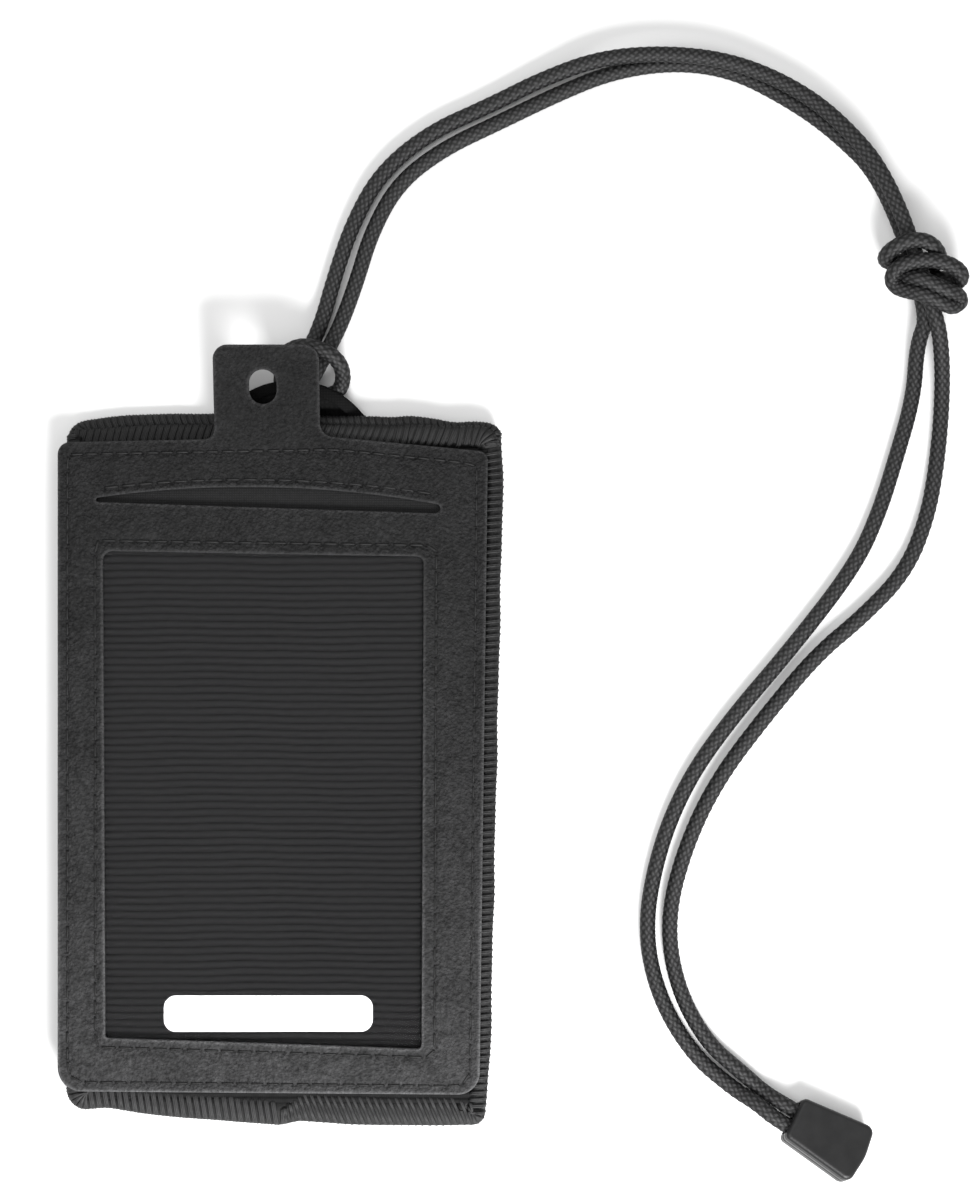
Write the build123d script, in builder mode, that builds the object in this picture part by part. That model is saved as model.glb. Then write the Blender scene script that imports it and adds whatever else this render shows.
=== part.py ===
from build123d import *
import math
import os

# Neck pouch wallet: a leather-look card window panel on a serged fabric passport pouch,
# worn on one folded cord with a sliding adjuster knot and a snap-shut cord end.
# Millimetres. The pouch lies on its back: +X right, +Y towards the hanging tab, +Z out of the window.
# The origin is the middle of the pouch's own footprint, on the surface that it lies on.

os.makedirs("parts", exist_ok=True)

# Heights of the layers, from the back up
fabric = 0.8                    # laminated pouch fabric
pocket_gap = 5.2                # passport pocket, slightly open
rib_floor = fabric + pocket_gap
rib_top = rib_floor + fabric
lining = 0.5
leather_floor = rib_top + lining
leather = 1.2
leather_top = leather_floor + leather
pane = 0.3
print_height = 0.1
thread = 0.25                   # height of a seam thread above the leather
thread_width = 0.45

# Outlines seen from the front, corner by corner with their radii
pouch_points = [(-53.2, -93.6), (-53.2, 80.6), (54.6, 79.2), (55.25, 66), (52, -80), (50.6, -97)]
pouch_radii = [5, 5, 4, 20, 20, 3]
serge_width = 3
side_seam_foot = -88            # below this the bottom seam takes over
mouth_front = 77.6              # top edge of the front panel
mouth_front_seam = 74.9

tab_left, tab_right, tab_top = -16.25, 10, 97
panel_points = [
    (-55.25, -88.1), (-55.25, 73.2), (tab_left, 74), (tab_left, tab_top),
    (tab_right, tab_top), (tab_right, 74.9), (51.7, 70.9), (49.6, -89),
]
panel_radii = [6, 3, 2.5, 3.6, 3.8, 3.5, 2.5, 5.5]
window_points = [(-43.4, -74.8), (-44, 46.2), (35.7, 44.8), (35.2, -77.6)]
window_radii = [0.75, 2.25, 1.75, 1]
pane_points = [(-46.8, -77.6), (-46.8, 49.8), (40, 48.6), (39.6, -80)]
card_space_points = [(-47.6, -79.4), (-47.6, 64.4), (41.6, 63.6), (41.2, -81.4)]
slot_left, slot_peak, slot_right = (-45.1, 59.5), (2, 61.9), (38.6, 57.9)
slot_foot_left, slot_foot_right = (-45.1, 58.4), (38.6, 55.6)
tab_hole_centre, tab_hole_length, tab_hole_width = (-4, 86.8), 8.4, 6.8
tab_fold = 74.5                 # the hanging tab rises from here, over the cord hitch
tab_tilt = 14.5

# Rear hanging tab, a dome of webbing sewn inside the pouch mouth
dome_centre, dome_radius = (2.9, 66.4), 22.2
dome_left, dome_right, dome_root = -14.9, 20.7, 72
dome_base_top = [(dome_root, fabric), (80, fabric), (83.8, 4.3), (90, 4.3)]
dome_thickness = 0.6
binding_width, binding_thickness = 2.6, 0.3
dome_hole_centre, dome_hole_size = (3, 82.9), (10.4, 4.8)

# Cord
cord_radius = 2
knot_centre, knot_heading = (158.6, 116), -71.9
knot_length, knot_width, knot_height, knot_bore = 20, 19, 13.8, 5

# Cord end, two moulded shells hinged at the wide end; it rests on one lower edge
end_centre, end_heading, end_roll = (126.5, -94.8, 5.69), -29.5, -20
end_length, end_neck, end_far = 21.4, 11.2, 15.6
end_height, end_wall = 7, 1.3
seam_gap = 0.1


def closed_outline(points, radii, inset=0, mode=Mode.ADD):
    """A filled outline with rounded corners, in the sketch being built."""
    with BuildLine(mode=Mode.PRIVATE) as edge:
        FilletPolyline(*points, radius=radii, close=True)
    face = make_face(edge.edges(), mode=Mode.PRIVATE)
    if inset:
        face = offset(face, amount=-inset, kind=Kind.INTERSECTION, mode=Mode.PRIVATE)
    add(face, mode=mode)


def pouch_outline(inset, low, high, side=0):
    """The pouch outline less an inset, between two heights; side picks a half."""
    closed_outline(pouch_points, pouch_radii, inset)
    middle = (low + high) / 2
    with Locations((side * 60, middle)):
        Rectangle(120 if side else 240, high - low, mode=Mode.INTERSECT)


def layer_profile(base_line, height):
    """Side view of a sheet of even height that follows a base line."""
    top_line = [(y, z + height) for y, z in reversed(base_line)]
    with BuildLine(mode=Mode.PRIVATE) as edge:
        Polyline(*base_line, *top_line, close=True)
    make_face(edge.edges())


def card_slot():
    """Lens-shaped card slit, arched along its upper lip."""
    with BuildLine(mode=Mode.PRIVATE) as edge:
        ThreePointArc(slot_left, slot_peak, slot_right)
        Polyline(slot_right, slot_foot_right, slot_foot_left, slot_left)
    make_face(edge.edges())


def tab_hole(grow=0):
    """Oblong hole in the hanging tab."""
    with Locations(tab_hole_centre):
        SlotOverall(tab_hole_length + 2 * grow, tab_hole_width + 2 * grow, rotation=90)


def finish(part, name):
    """Label a finished piece and write it."""
    part.label = name
    export_step(part, f"parts/{name}.step")
    print(f"{name}: {part.volume:.1f} mm3")


# ---------------------------------------------------------------- pouch fabric
with BuildPart() as pouch_back_panel:
    with BuildSketch():
        pouch_outline(serge_width, -100, 90)
    extrude(amount=fabric)
finish(pouch_back_panel.part, "pouch_back_panel")

with BuildPart() as ribbed_front_panel:
    with BuildSketch(Plane.XY.offset(rib_floor)):
        pouch_outline(serge_width, -100, mouth_front_seam)
    extrude(amount=fabric)
finish(ribbed_front_panel.part, "ribbed_front_panel")

# ---------------------------------------------------------------- overlocked edges
seams = {
    "serge_left": (side_seam_foot, mouth_front_seam, -1),
    "serge_right": (side_seam_foot, mouth_front_seam, 1),
    "serge_bottom": (-100, side_seam_foot, 0),
}
for seam_name, (low, high, side) in seams.items():
    with BuildPart() as seam:
        with BuildSketch():
            pouch_outline(0, low, high, side)
        extrude(amount=rib_top)
        with BuildSketch():
            closed_outline(pouch_points, pouch_radii, serge_width)
        extrude(amount=rib_top, mode=Mode.SUBTRACT)
    finish(seam.part, seam_name)

with BuildPart() as serge_mouth_back:
    with BuildSketch():
        pouch_outline(0, mouth_front_seam, 90)
    extrude(amount=fabric)
    with BuildSketch():
        closed_outline(pouch_points, pouch_radii, serge_width)
    extrude(amount=fabric, mode=Mode.SUBTRACT)
finish(serge_mouth_back.part, "serge_mouth_back")

with BuildPart() as serge_mouth_front:
    with BuildSketch(Plane.XY.offset(rib_floor)):
        pouch_outline(0, mouth_front_seam, mouth_front)
    extrude(amount=fabric)
finish(serge_mouth_front.part, "serge_mouth_front")

# ---------------------------------------------------------------- window panel
tab_run = 30
tab_rise = tab_run * math.tan(math.radians(tab_tilt))


def panel_layer(floor, height):
    """Side view of a sheet that is flat up to the fold and rises beyond it."""
    base_line = [(-95, floor), (tab_fold, floor), (tab_fold + tab_run, floor + tab_rise)]
    layer_profile(base_line, height)


with BuildPart() as front_frame:
    with BuildSketch(Plane.YZ.offset(-60)):
        panel_layer(leather_floor, leather)
    extrude(amount=120)
    with BuildSketch():
        closed_outline(panel_points, panel_radii)
    extrude(amount=20, mode=Mode.INTERSECT)
    with BuildSketch():
        closed_outline(window_points, window_radii)
        card_slot()
        tab_hole()
    extrude(amount=20, mode=Mode.SUBTRACT)
finish(front_frame.part, "front_frame")

with BuildPart() as frame_lining:
    with BuildSketch(Plane.YZ.offset(-60)):
        panel_layer(rib_top, lining)
    extrude(amount=120)
    with BuildSketch():
        closed_outline(panel_points, panel_radii, 0.4)
    extrude(amount=20, mode=Mode.INTERSECT)
    with BuildSketch():
        closed_outline(card_space_points, [2] * 4)
        tab_hole(0.3)
    extrude(amount=20, mode=Mode.SUBTRACT)
finish(frame_lining.part, "frame_lining")

with BuildPart() as window_pane:
    with BuildSketch(Plane.XY.offset(leather_floor - pane)):
        closed_outline(pane_points, [2] * 4)
    extrude(amount=pane)
finish(window_pane.part, "window_pane")

with BuildPart() as printed_label:
    with BuildSketch(Plane.XY.offset(rib_top)):
        with Locations((-3, -69)):
            RectangleRounded(52, 9, 3)
    extrude(amount=print_height)
finish(printed_label.part, "printed_label")

# ---------------------------------------------------------------- seam threads on the leather
frame_row = [(-52.8, -85.7), (-52.8, 70.2), (14, 71.4), (49, 67.8), (47.2, -86.8)]
frame_row_radii = [4, 1.5, 60, 2, 4]
window_row = [(-45.9, -77), (-45.9, 48.8), (38.9, 47.6), (38.4, -79.7)]

with BuildPart() as frame_stitching:
    with BuildSketch(Plane.XY.offset(leather_top)):
        closed_outline(frame_row, frame_row_radii)
    extrude(amount=thread)
    with BuildSketch(Plane.XY.offset(leather_top)):
        closed_outline(frame_row, frame_row_radii, thread_width)
    extrude(amount=thread, mode=Mode.SUBTRACT)
finish(frame_stitching.part, "frame_stitching")

with BuildPart() as window_stitching:
    with BuildSketch(Plane.XY.offset(leather_top)):
        closed_outline(window_row, [1.2] * 4)
    extrude(amount=thread)
    with BuildSketch(Plane.XY.offset(leather_top)):
        closed_outline(window_row, [1.2] * 4, thread_width)
    extrude(amount=thread, mode=Mode.SUBTRACT)
finish(window_stitching.part, "window_stitching")

with BuildPart() as slot_stitching:
    with BuildSketch(Plane.XY.offset(leather_top)):
        with BuildLine() as slot_row:
            ThreePointArc((-44, 61.8), (-3, 63.9), (38, 60.4))
            offset(amount=thread_width / 2)
        make_face()
    extrude(amount=thread)
finish(slot_stitching.part, "slot_stitching")

# ---------------------------------------------------------------- rear hanging tab
with BuildPart() as hang_tab:
    with BuildSketch(Plane.YZ.offset(dome_left)):
        layer_profile(dome_base_top, dome_thickness)
    extrude(amount=dome_right - dome_left)
    with BuildSketch():
        with Locations(dome_centre):
            Circle(dome_radius)
    extrude(amount=10, mode=Mode.INTERSECT)
    with BuildSketch():
        with Locations(dome_hole_centre):
            SlotOverall(*dome_hole_size)
    extrude(amount=10, mode=Mode.SUBTRACT)
finish(hang_tab.part, "hang_tab")

with BuildPart() as hang_tab_binding:
    binding_line = [(y, z + dome_thickness) for y, z in dome_base_top[1:]]
    with BuildSketch(Plane.YZ.offset(dome_left)):
        layer_profile(binding_line, binding_thickness)
    extrude(amount=dome_right - dome_left)
    with BuildSketch():
        with Locations(dome_centre):
            Circle(dome_radius)
            Circle(dome_radius - binding_width, mode=Mode.SUBTRACT)
    extrude(amount=10, mode=Mode.INTERSECT)
finish(hang_tab_binding.part, "hang_tab_binding")

with BuildPart() as hang_tab_stitches:
    with BuildSketch(Plane.XY.offset(fabric + dome_thickness)):
        with Locations((dome_centre[0], 73.6), (dome_centre[0], 76.2)):
            Rectangle(30, 0.8)
    extrude(amount=binding_thickness)
finish(hang_tab_stitches.part, "hang_tab_stitches")

# ---------------------------------------------------------------- lanyard
# Each half of the folded cord, from the hidden middle of the hitch ring to the cord end.
strand_a_route = [
    (-0.1, 90.2, 2.5), (-0.2, 93, 3.03), (1.2, 95.8, 5.4), (5.2, 97.4, 8.4), (10.9, 96.3, 9.4),
    (15.2, 93, 7.8), (15.7, 88.4, 3.4), (13.4, 85.5, 2), (8.6, 85.1, 2), (5.3, 83.6, 2),
    (4.7, 82.1, 4.7), (5.3, 83.8, 7.42), (8.2, 89.4, 7.4), (11.6, 96.2, 4.6), (15, 103.4, 2.3),
    (18.7, 113.6, 2), (22.6, 126.5, 2), (29.3, 138.6, 2), (40.6, 147.2, 2), (54.6, 153.8, 2),
    (68.6, 160.6, 2), (82.6, 166.4, 2), (98.4, 168.8, 2), (112.8, 166.8, 2), (125.6, 160.4, 2),
    (137.6, 152.2, 2.8), (150.8, 138.7, 4.98), (161.9, 105.5, 4.98), (159, 98, 3.6), (158.4, 84.6, 2),
    (153.6, 68.2, 2), (149.8, 56, 2), (143.8, 42.6, 2), (128.2, 22.4, 2), (112.6, 4.2, 2),
    (101.8, -11, 2), (94.6, -28, 2), (90.9, -47.6, 2), (94, -64.6, 2), (102.6, -79.6, 2),
    (113.2, -88.5, 2.4), (118.6, -91.4, 5.42), (123.32, -95.34, 6.43), (129.89, -99.06, 6.43),
]
strand_b_route = [
    (-0.1, 90.2, 2.5), (0, 87.2, 2.01), (0.3, 83.8, 2), (0.5, 82.2, 4.7), (0.9, 83.8, 7.42),
    (3.4, 89, 7.4), (7, 96.2, 4.6), (10.2, 103.8, 2.3), (13.2, 114.8, 2), (18, 129, 2),
    (25.2, 141.6, 2), (37.4, 151.4, 2), (51.8, 157.8, 2), (65.6, 164.6, 2.7), (79.8, 169.4, 4.8),
    (96, 170.4, 5.95), (111.8, 168.6, 5.95), (126, 163.2, 5.4), (138.4, 154.6, 6.3),
    (151.5, 138.9, 9.03), (162.6, 105.7, 9.03), (164.8, 98, 6), (165.6, 85, 2.6), (164.4, 69, 2),
    (161.9, 54.6, 2), (156.4, 41, 2), (145.4, 29.6, 2), (134.2, 20.4, 2), (121, 4.6, 2),
    (109.4, -10.8, 2), (101.6, -26.6, 2), (96.6, -45, 2), (98.6, -62, 2), (106.2, -76.8, 2),
    (116.2, -85.1, 2.4), (120.4, -89, 2.38), (125.33, -91.79, 4.95), (131.9, -95.51, 4.95),
]


def bend_radii(route):
    """Arc radius at each inner point, as large as its two runs allow."""
    radii = []
    for before, here, after in zip(route, route[1:], route[2:]):
        arriving = Vector(*here) - Vector(*before)
        leaving = Vector(*after) - Vector(*here)
        half_turn = math.radians(arriving.get_angle(leaving)) / 2
        shorter = min(arriving.length, leaving.length)
        radii.append(0.45 * shorter / math.tan(half_turn))
    return radii


for strand_name, route in (("lanyard_strand_a", strand_a_route), ("lanyard_strand_b", strand_b_route)):
    radii = bend_radii(route)
    with BuildPart() as strand:
        with BuildLine() as path:
            FilletPolyline(*route, radius=radii)
        start = Vector(*route[1]) - Vector(*route[0])
        with BuildSketch(Plane(origin=route[0], z_dir=start)):
            Circle(cord_radius)
        sweep(path=path.wire())
    expected = math.pi * cord_radius**2 * path.wire().length
    print(strand_name, "radii", " ".join(f"{r:.1f}" for r in radii))
    print(strand_name, f"length {path.wire().length:.1f} volume ratio {strand.part.volume / expected:.4f}")
    finish(strand.part, strand_name)

# Adjuster knot: outer shape of the wraps, free to slide along both strands
knot_along = Vector(1, 0, 0).rotate(Axis.Z, knot_heading)
knot_middle = Vector(*knot_centre, knot_height / 2 + 0.1)
with BuildPart() as adjuster_knot:
    with BuildSketch(Plane(origin=knot_middle - knot_along * knot_length / 2,
                           x_dir=knot_along.cross(Vector(0, 0, 1)), z_dir=knot_along)):
        Ellipse(knot_width / 2, knot_height / 2)
    extrude(amount=knot_length)
    fillet(adjuster_knot.edges(), radius=1.6)
    with BuildSketch(Plane(origin=knot_middle - knot_along * knot_length / 2, z_dir=knot_along)):
        Circle(knot_bore)
    extrude(amount=knot_length, mode=Mode.SUBTRACT)
finish(adjuster_knot.part, "adjuster_knot")

# ---------------------------------------------------------------- cord end
end_along = Vector(1, 0, 0).rotate(Axis.Z, end_heading)
end_up = Vector(0, 0, 1).rotate(Axis((0, 0, 0), end_along), end_roll)
neck_start = 1
tip_start, tip_length, tip_radius, tip_offset = 5.1, 3, 2.2, 2.25
peg_places = [(14.5, 5.2), (14.5, -5.2)]
peg_radius, peg_length, peg_gap = 0.7, 0.9, 0.15


def end_plane(height):
    """Work plane of the cord end: x along its axis, from the neck to the wide end."""
    middle = Vector(*end_centre)
    return Plane(origin=middle + end_up * (height - end_height / 2), x_dir=end_along, z_dir=end_up)


def end_outline(wall):
    """Tapered outline of the cord end, less a wall all round."""
    near, far = end_neck / 2 - wall, end_far / 2 - wall
    head, foot = neck_start + wall, end_length - wall
    corners = [(head, -near), (head, near), (foot - 1, far), (foot, 0), (foot - 1, -far)]
    closed_outline(corners, [1.4, 1.4, 2.2, 12, 2.2])


def cord_passage():
    """Way in through the neck for the two cords side by side."""
    with Locations((neck_start + 1, 0)):
        Rectangle(6, 4 * cord_radius + 0.6)


half_height = (end_height - seam_gap) / 2
with BuildPart() as cord_end_base:
    with BuildSketch(end_plane(0)):
        end_outline(0)
    extrude(amount=half_height)
    fillet(cord_end_base.faces().sort_by(Axis(end_centre, end_up))[0].edges(), radius=1)
    with BuildSketch(end_plane(1)):
        end_outline(end_wall)
    extrude(amount=half_height, mode=Mode.SUBTRACT)
    with BuildSketch(end_plane(end_height / 2 - cord_radius - 0.1)):
        cord_passage()
    extrude(amount=half_height, mode=Mode.SUBTRACT)
    with BuildSketch(end_plane(0.5)):
        with Locations(peg_places):
            Circle(peg_radius + peg_gap + 0.7)
    extrude(amount=half_height - 0.5)
    with BuildSketch(end_plane(half_height)):
        with Locations(peg_places):
            Circle(peg_radius + peg_gap)
    extrude(amount=-peg_length - 0.2, mode=Mode.SUBTRACT)
finish(cord_end_base.part, "cord_end_base")

with BuildPart() as cord_end_cover:
    with BuildSketch(end_plane(half_height + seam_gap)):
        end_outline(0)
    extrude(amount=half_height)
    fillet(cord_end_cover.faces().sort_by(Axis(end_centre, end_up))[-1].edges(), radius=1.2)
    with BuildSketch(end_plane(half_height)):
        end_outline(end_wall)
    extrude(amount=half_height - 1, mode=Mode.SUBTRACT)
    with BuildSketch(end_plane(half_height)):
        cord_passage()
    extrude(amount=cord_radius + 0.25, mode=Mode.SUBTRACT)
    with BuildSketch(end_plane(half_height + seam_gap - peg_length)):
        with Locations(peg_places):
            Circle(peg_radius)
    extrude(amount=peg_length + half_height - 1)
finish(cord_end_cover.part, "cord_end_cover")

for tip_name, tip_side in (("cord_tip_a", -1), ("cord_tip_b", 1)):
    with BuildPart() as tip:
        plane = end_plane(end_height / 2)
        centre = plane.from_local_coords((tip_start, tip_side * tip_offset, 0))
        with BuildSketch(Plane(origin=centre, z_dir=end_along)):
            Circle(tip_radius)
        extrude(amount=tip_length)
        fillet(tip.faces().sort_by(Axis(centre, end_along))[-1].edges(), radius=1)
    finish(tip.part, tip_name)
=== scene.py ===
import math

import bpy
import numpy as np
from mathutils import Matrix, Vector
from mathutils.geometry import delaunay_2d_cdt
from mathutils.kdtree import KDTree


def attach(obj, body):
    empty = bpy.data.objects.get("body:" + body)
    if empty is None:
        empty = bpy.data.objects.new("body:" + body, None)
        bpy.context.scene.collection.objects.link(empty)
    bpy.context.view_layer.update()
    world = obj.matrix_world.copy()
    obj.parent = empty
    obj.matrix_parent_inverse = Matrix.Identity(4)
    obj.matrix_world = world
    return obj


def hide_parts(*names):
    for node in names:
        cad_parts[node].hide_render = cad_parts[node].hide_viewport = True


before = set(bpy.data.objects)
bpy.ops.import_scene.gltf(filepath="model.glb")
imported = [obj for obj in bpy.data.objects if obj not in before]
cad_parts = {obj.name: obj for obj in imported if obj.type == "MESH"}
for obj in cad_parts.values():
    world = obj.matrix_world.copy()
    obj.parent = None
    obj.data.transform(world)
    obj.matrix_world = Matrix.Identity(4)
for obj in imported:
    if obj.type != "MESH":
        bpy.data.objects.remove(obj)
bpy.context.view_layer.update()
MM = 0.001

# ---- camera, floor and light
VIEW_HEIGHT = 300               # field of view at the object, mm
LENS, SENSOR = 85, 36
VIEW_CENTRE = (51.6, 34.0)
FLOOR_GAP = 0.2                 # floor below the frame's table, mm
CAMERA_HEIGHT = VIEW_HEIGHT * MM / SENSOR * LENS
LEVEL_IN_FOCUS = 4              # height on the object at which the view has its size, mm


def make_camera():
    """Straight down on the pouch, as it lies."""
    data = bpy.data.cameras.new("camera")
    data.lens = LENS
    data.sensor_width = SENSOR
    data.clip_start = 0.01
    camera = bpy.data.objects.new("camera", data)
    camera.location = (VIEW_CENTRE[0] * MM, VIEW_CENTRE[1] * MM, CAMERA_HEIGHT + LEVEL_IN_FOCUS * MM)
    bpy.context.collection.objects.link(camera)
    bpy.context.scene.camera = camera


def make_light(name, place, size, power):
    """A square softbox that looks at the middle of the view."""
    data = bpy.data.lights.new(name, "AREA")
    data.size = size
    data.energy = power
    light = bpy.data.objects.new(name, data)
    light.location = place
    aim = Vector((VIEW_CENTRE[0] * MM, VIEW_CENTRE[1] * MM, 0)) - light.location
    light.rotation_euler = aim.to_track_quat("-Z", "Y").to_euler()
    bpy.context.collection.objects.link(light)


def make_stage():
    """Pale floor, two soft lights and a bright surround."""
    bpy.ops.mesh.primitive_plane_add(size=6, location=(0, 0, -FLOOR_GAP * MM))
    floor = bpy.context.object
    floor.name = "floor"
    floor.data.materials.append(new_material("pale_floor", (0.5, 0.5, 0.5), 0.9, 0.1)[0])
    make_light("key", (0.22, -0.42, 0.44), size=0.26, power=12.5)
    make_light("fill", (-0.3, 0.3, 1.1), size=1.0, power=12)
    world = bpy.data.worlds.new("surround")
    world.use_nodes = True
    world.node_tree.nodes["Background"].inputs["Color"].default_value = (1, 1, 1, 1)
    world.node_tree.nodes["Background"].inputs["Strength"].default_value = 1.0
    bpy.context.scene.world = world
    bpy.context.scene.view_settings.view_transform = "Standard"


# ---- materials
def new_material(name, base, roughness, specular):
    """A principled material, with its tree, its shader node and object coordinates in metres."""
    material = bpy.data.materials.new(name)
    material.use_nodes = True
    tree = material.node_tree
    shader = tree.nodes["Principled BSDF"]
    shader.inputs["Base Color"].default_value = (*base, 1)
    shader.inputs["Roughness"].default_value = roughness
    shader.inputs["Specular IOR Level"].default_value = specular
    return material, tree, shader, tree.nodes.new("ShaderNodeTexCoord").outputs["Object"]


def add_node(tree, kind, links, values):
    """A node with some of its sockets linked and others set."""
    node = tree.nodes.new(kind)
    for key, socket in links.items():
        tree.links.new(socket, node.inputs[key])
    for key, value in values.items():
        node.inputs[key].default_value = value
    return node


def noise(tree, place, scale, detail=2.0, roughness=0.5):
    values = {"Scale": scale, "Detail": detail, "Roughness": roughness}
    return add_node(tree, "ShaderNodeTexNoise", {"Vector": place}, values).outputs["Fac"]


def cells(tree, place, scale):
    return add_node(tree, "ShaderNodeTexVoronoi", {"Vector": place}, {"Scale": scale}).outputs["Distance"]


def stretch(tree, place, scale):
    """Coordinates scaled along each axis."""
    return add_node(tree, "ShaderNodeMapping", {"Vector": place}, {"Scale": scale}).outputs["Vector"]


def wave(tree, place, scale, direction, distortion, detail_scale):
    values = {"Scale": scale, "Distortion": distortion, "Detail Scale": detail_scale}
    node = add_node(tree, "ShaderNodeTexWave", {"Vector": place}, values)
    node.bands_direction = direction
    return node.outputs["Fac"]


def calculate(tree, operation, first, second):
    node = tree.nodes.new("ShaderNodeMath")
    node.operation = operation
    for socket, value in zip(node.inputs, (first, second)):
        if isinstance(value, (int, float)):
            socket.default_value = value
        else:
            tree.links.new(value, socket)
    return node.outputs["Value"]


def weighted(tree, *parts):
    """Sum of (socket, weight) pairs."""
    terms = [calculate(tree, "MULTIPLY", socket, weight) for socket, weight in parts]
    total = terms[0]
    for term in terms[1:]:
        total = calculate(tree, "ADD", total, term)
    return total


def scaled(tree, colour, gain):
    """A colour times a gain."""
    node = tree.nodes.new("ShaderNodeVectorMath")
    node.operation = "SCALE"
    tree.links.new(colour, node.inputs[0])
    tree.links.new(gain, node.inputs["Scale"])
    return node.outputs["Vector"]


def ramp(tree, value, stops):
    """Colour ramp from (position, grey or colour) stops."""
    node = tree.nodes.new("ShaderNodeValToRGB")
    elements = node.color_ramp.elements
    while len(elements) < len(stops):
        elements.new(0.5)
    for element, (position, colour) in zip(elements, stops):
        element.position = position
        if isinstance(colour, (int, float)):
            colour = (colour, colour, colour * 1.02)
        element.color = (*colour, 1)
    tree.links.new(value, node.inputs["Fac"])
    return node.outputs["Color"]


def tint(tree, shader, value, stops, socket="Base Color"):
    """Drives one of the shader's sockets by a ramp."""
    tree.links.new(ramp(tree, value, stops), shader.inputs[socket])


def bump(tree, shader, height, distance, strength):
    node = add_node(tree, "ShaderNodeBump", {"Height": height}, {"Distance": distance, "Strength": strength})
    tree.links.new(node.outputs["Normal"], shader.inputs["Normal"])


def attribute(tree, name):
    node = tree.nodes.new("ShaderNodeAttribute")
    node.attribute_name = name
    return node.outputs["Fac"]


TAB_ROOT = 0.09                 # where the painted light gradient starts, in metres along the pouch


def painted_light_fade(tree, place, colour, lowest, growth):
    """Painted light: a colour made lighter from the tab to the foot of the pouch, in place of the key light's
    fall-off.
    """
    parts = tree.nodes.new("ShaderNodeSeparateXYZ")
    tree.links.new(place, parts.inputs["Vector"])
    down = calculate(tree, "SUBTRACT", TAB_ROOT, parts.outputs["Y"])
    gain = calculate(tree, "MULTIPLY", calculate(tree, "MULTIPLY", down, down), growth)
    return scaled(tree, colour, calculate(tree, "ADD", gain, lowest))


def leather_material():
    """Matt synthetic leather: pebble grain, mottled tone, edges lighter (partly rubbed wear, partly painted
    highlight) and painted light towards the foot.
    """
    material, tree, shader, place = new_material("panel_leather", (0.03, 0.03, 0.031), 0.6, 0.09)
    height = weighted(tree, (cells(tree, place, 1300), 1), (noise(tree, place, 4200, 2), 0.8))
    mottle, patches = noise(tree, place, 900, 3), noise(tree, place, 90, 3)
    # edge term: lighter cut edges, partly rubbed wear and partly painted highlight
    tone = weighted(tree, (mottle, 0.7), (patches, 0.3), (attribute(tree, "edge"), 0.5))
    colour = ramp(tree, tone, [(0.3, 0.0040), (0.6, 0.0140), (1.0, 0.034)])
    # painted light: the leather colour grows lighter from the tab to the foot
    tree.links.new(painted_light_fade(tree, place, colour, 0.62, 42), shader.inputs["Base Color"])
    bump(tree, shader, height, 0.0005, 1.0)
    return material


def rib_material():
    """Ribbed pouch fabric: the ribs are geometry, the yarn is bump, and the grooves between the ribs are
    painted darker as shade.
    """
    material, tree, shader, place = new_material("ribbed_fabric", (0.022, 0.022, 0.023), 0.85, 0.06)
    yarn = wave(tree, place, 700, "X", 1.5, 2)
    fuzz = noise(tree, stretch(tree, place, (900, 3000, 900)), 1, 3)
    # painted shade: where the rib relief is low, in the grooves, the colour is darker
    tone = weighted(tree, (yarn, 0.2), (fuzz, 0.4), (attribute(tree, "relief"), 0.55))
    tint(tree, shader, tone, [(0.25, 0.0004), (0.6, 0.0031), (1.0, 0.0085)])
    bump(tree, shader, fuzz, 0.0001, 0.4)
    return material


BAND_SCALE = 314                # scale of a wave texture with bands 1 mm apart


def weave_material(name, low, high, pitch):
    """Plain weave at a given yarn pitch in mm."""
    material, tree, shader, place = new_material(name, (high, high, high), 0.85, 0.08)
    across = wave(tree, place, BAND_SCALE / pitch, "X", 0.6, 3)
    along = wave(tree, place, BAND_SCALE / pitch, "Y", 0.6, 3)
    woven = calculate(tree, "MULTIPLY", across, along)
    tone = weighted(tree, (woven, 0.5), (noise(tree, place, 1800, 3), 0.5))
    tint(tree, shader, tone, [(0.15, low), (0.7, high)])
    bump(tree, shader, tone, 0.00025, 0.6)
    return material


def thread_material(name, low, high, roughness=0.55, specular=0.2, relief=False):
    """Polyester thread or cord: fine fibres, tone broken up along the length; with relief, painted shade
    where the relief is low and painted light towards the foot.
    """
    material, tree, shader, place = new_material(name, (high, high, high), roughness, specular)
    fibres = noise(tree, place, 5200, 3, 0.6)
    tone = weighted(tree, (fibres, 0.6), (noise(tree, place, 420, 2), 0.4))
    # painted shade: tone scaled down where the relief attribute is low, as on the overlock cores
    tone = calculate(tree, "MULTIPLY", tone, attribute(tree, "relief")) if relief else tone
    colour = ramp(tree, tone, [(0.0, 0.0006), (0.25, low), (0.75, high)])
    # painted light: the serge thread colour grows lighter towards the foot
    colour = painted_light_fade(tree, place, colour, 0.62, 20) if relief else colour
    tree.links.new(colour, shader.inputs["Base Color"])
    bump(tree, shader, fibres, 0.00012, 0.6)
    return material


def cord_material():
    """Braided sheath: gaps between the yarns are painted darker as shade."""
    material, tree, shader, place = new_material("braided_cord", (0.03, 0.03, 0.031), 0.55, 0.16)
    fibres = noise(tree, place, 6000, 3, 0.6)
    # painted shade: low relief between the yarns is painted darker
    tone = weighted(tree, (attribute(tree, "relief"), 0.75), (fibres, 0.35))
    tint(tree, shader, tone, [(0.2, 0.0007), (0.6, 0.0046), (1.0, 0.027)])
    bump(tree, shader, fibres, 0.0001, 0.5)
    return material


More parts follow.
